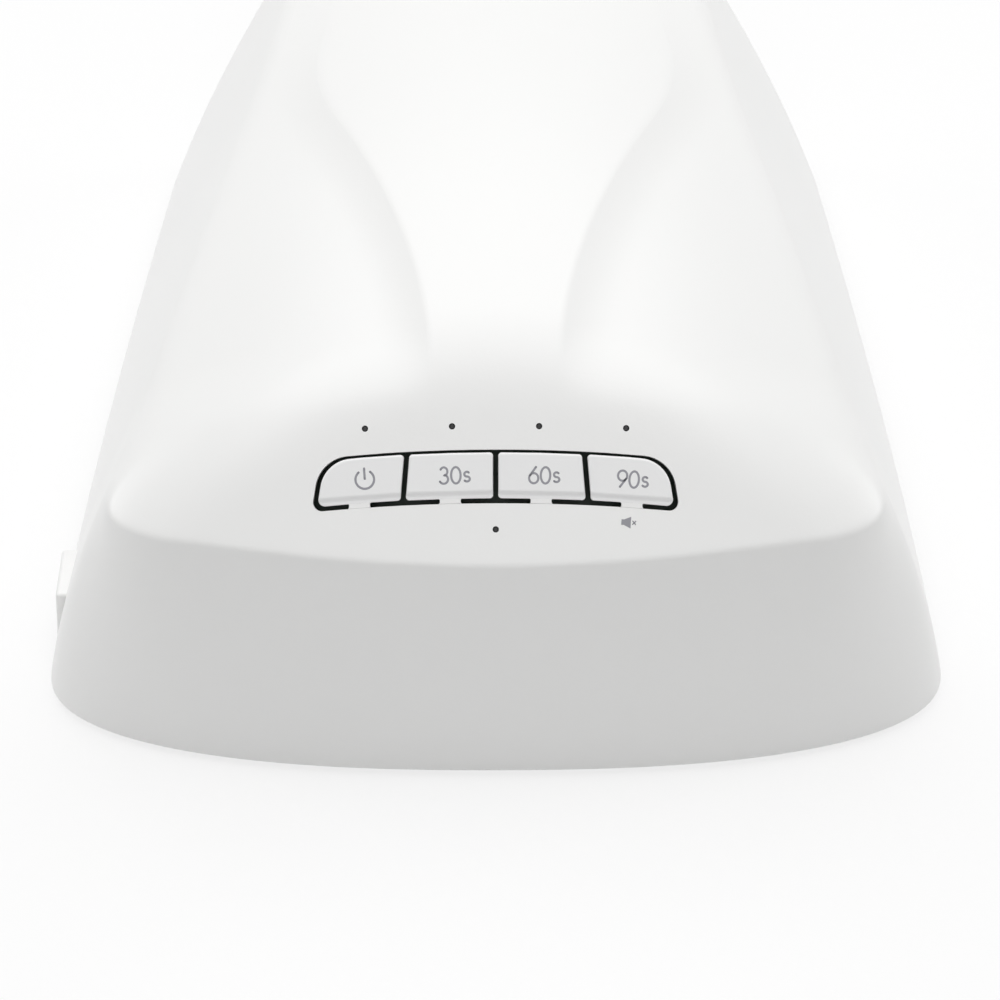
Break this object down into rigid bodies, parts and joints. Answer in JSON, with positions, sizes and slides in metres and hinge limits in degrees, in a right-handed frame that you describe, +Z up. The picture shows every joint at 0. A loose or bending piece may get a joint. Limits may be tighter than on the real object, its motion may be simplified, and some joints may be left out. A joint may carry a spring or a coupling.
{
  "type": "led nail lamp",
  "caption": "Salon nail lamp with a sloped panel of sprung touch keys, a mirror-lined hand chamber and a floor tray that slides out.",
  "frame": {"origin": "on the table, at the middle of the body's plan, under the crown", "axes": "+Z up, -Y towards the side with the keys, +Y out of the hand opening, +X to the right seen from the keys"},
  "size_m": [0.2194, 0.2198, 0.1055],
  "materials": {
    "shell_white": "moulded gloss",
    "key_white": "moulded satin gloss",
    "dark_plastic": "moulded matt",
    "board_green": "solder mask",
    "board_white": "white solder mask",
    "screw_steel": "zinc plated",
    "led_white": "moulded",
    "clear_guide": "clear moulded",
    "mirror_lining": "vacuum metallised",
    "mirror_tray": "vacuum metallised",
    "led_lens": "clear lens",
    "lead_grey": "flat cable",
    "lead_black": "cable jacket",
    "frame_white": "moulded matt",
    "foot_rubber": "moulded rubber"
  },
  "bodies": {
    "lamp": {"top_shell": "shell_white", "switch_housings": "dark_plastic", "control_board": "board_green", "board_screws": "screw_steel", "indicator_leds": "led_white", "light_guides": "clear_guide", "timer_chip": "dark_plastic", "sounder": "dark_plastic", "reflector_liner": "mirror_lining", "roof_board": "board_white", "left_board": "board_white", "right_board": "board_white", "end_board": "board_white", "roof_leds": "led_lens", "left_leds": "led_lens", "right_leds": "led_lens", "end_leds": "led_lens", "hand_sensor": "dark_plastic", "led_ribbon": "lead_grey", "base_frame": "frame_white", "case_screws": "screw_steel", "liner_screws": "screw_steel", "rubber_feet": "foot_rubber", "frame_magnets": "screw_steel", "dc_jack": "dark_plastic", "jack_lead": "lead_black"},
    "power_key_lever": {"power_key": "key_white"},
    "key_30s_lever": {"key_30s": "key_white"},
    "key_60s_lever": {"key_60s": "key_white"},
    "key_90s_lever": {"key_90s": "key_white"},
    "power_plunger_pin": {"power_plunger": "dark_plastic"},
    "plunger_30s_pin": {"plunger_30s": "dark_plastic"},
    "plunger_60s_pin": {"plunger_60s": "dark_plastic"},
    "plunger_90s_pin": {"plunger_90s": "dark_plastic"},
    "tray": {"floor_tray": "mirror_tray", "tray_catches": "screw_steel"}
  },
  "joints": [
    {"name": "power_key_press", "type": "hinge", "parent": "lamp", "child": "power_key_lever", "pos_m": [-0.03, -0.09084, 0.07764], "axis": [-1, 0, 0], "range_deg": [0, 2.09], "stiffness_Nm_per_rad": 0.3},
    {"name": "power_plunger_travel", "type": "slide", "parent": "lamp", "child": "power_plunger_pin", "axis": [0, 0.6157, -0.788], "range_m": [0, 0.00032]},
    {"name": "key_30s_press", "type": "hinge", "parent": "lamp", "child": "key_30s_lever", "pos_m": [-0.01, -0.09009, 0.07823], "axis": [-1, 0, 0], "range_deg": [0, 2.36], "stiffness_Nm_per_rad": 0.3},
    {"name": "plunger_30s_travel", "type": "slide", "parent": "lamp", "child": "plunger_30s_pin", "axis": [0, 0.6157, -0.788], "range_m": [0, 0.00032]},
    {"name": "key_60s_press", "type": "hinge", "parent": "lamp", "child": "key_60s_lever", "pos_m": [0.01, -0.09009, 0.07823], "axis": [-1, 0, 0], "range_deg": [0, 2.36], "stiffness_Nm_per_rad": 0.3},
    {"name": "plunger_60s_travel", "type": "slide", "parent": "lamp", "child": "plunger_60s_pin", "axis": [0, 0.6157, -0.788], "range_m": [0, 0.00032]},
    {"name": "key_90s_press", "type": "hinge", "parent": "lamp", "child": "key_90s_lever", "pos_m": [0.03, -0.09084, 0.07764], "axis": [-1, 0, 0], "range_deg": [0, 2.09], "stiffness_Nm_per_rad": 0.3},
    {"name": "plunger_90s_travel", "type": "slide", "parent": "lamp", "child": "plunger_90s_pin", "axis": [0, 0.6157, -0.788], "range_m": [0, 0.00032]},
    {"name": "tray_slide", "type": "slide", "parent": "lamp", "child": "tray", "axis": [0, 1, 0], "range_m": [0, 0.145]}
  ],
  "couplings": [
    {"joint": "power_plunger_travel", "follows": "power_key_press", "m_per_rad": 0.008219},
    {"joint": "plunger_30s_travel", "follows": "key_30s_press", "m_per_rad": 0.007269},
    {"joint": "plunger_60s_travel", "follows": "key_60s_press", "m_per_rad": 0.007269},
    {"joint": "plunger_90s_travel", "follows": "key_90s_press", "m_per_rad": 0.008219}
  ]
}
